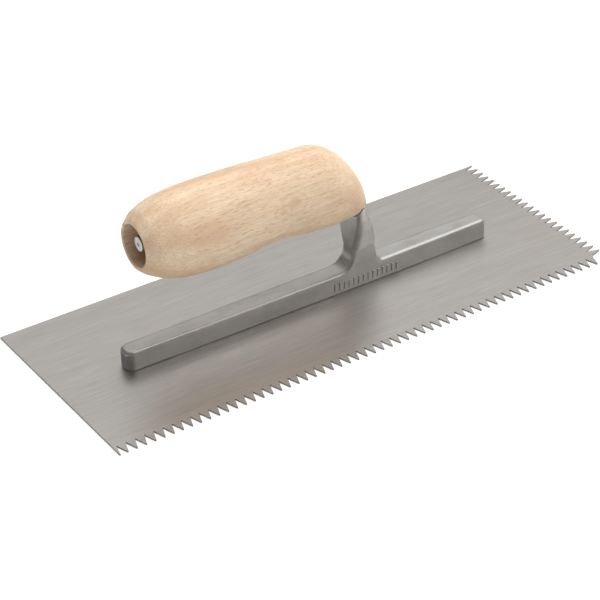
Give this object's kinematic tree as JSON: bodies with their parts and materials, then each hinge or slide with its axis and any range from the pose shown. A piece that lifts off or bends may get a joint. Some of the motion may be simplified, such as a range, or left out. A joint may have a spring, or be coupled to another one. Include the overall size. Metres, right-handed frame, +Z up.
{
  "type": "notched trowel",
  "caption": "Rectangular steel blade with V notches along a long edge and an adjoining short edge, cast aluminium backing rail and neck, wooden handle on a tang.",
  "frame": {"origin": "centre of the blade's underside, which is also the centre of the whole tool's footprint", "axes": "+X along the blade towards the notched short edge, -Y towards the notched long edge, +Z up from the blade to the handle; the handle's open end faces -X"},
  "size_m": [0.28, 0.1142, 0.0845],
  "materials": {
    "blade_steel": "brushed lengthwise",
    "cast_aluminium": "satin as cast",
    "beech": "sanded, thin clear varnish",
    "zinc_steel": "zinc plated",
    "rivet_aluminium": "ground flush"
  },
  "bodies": {
    "root": {"blade": "blade_steel", "mounting_casting": "cast_aluminium", "handle": "beech", "handle_washer": "zinc_steel", "handle_nut": "zinc_steel", "blade_rivet_1": "rivet_aluminium", "blade_rivet_2": "rivet_aluminium", "blade_rivet_3": "rivet_aluminium", "blade_rivet_4": "rivet_aluminium", "blade_rivet_5": "rivet_aluminium", "blade_rivet_6": "rivet_aluminium", "blade_rivet_7": "rivet_aluminium"}
  },
  "joints": []
}
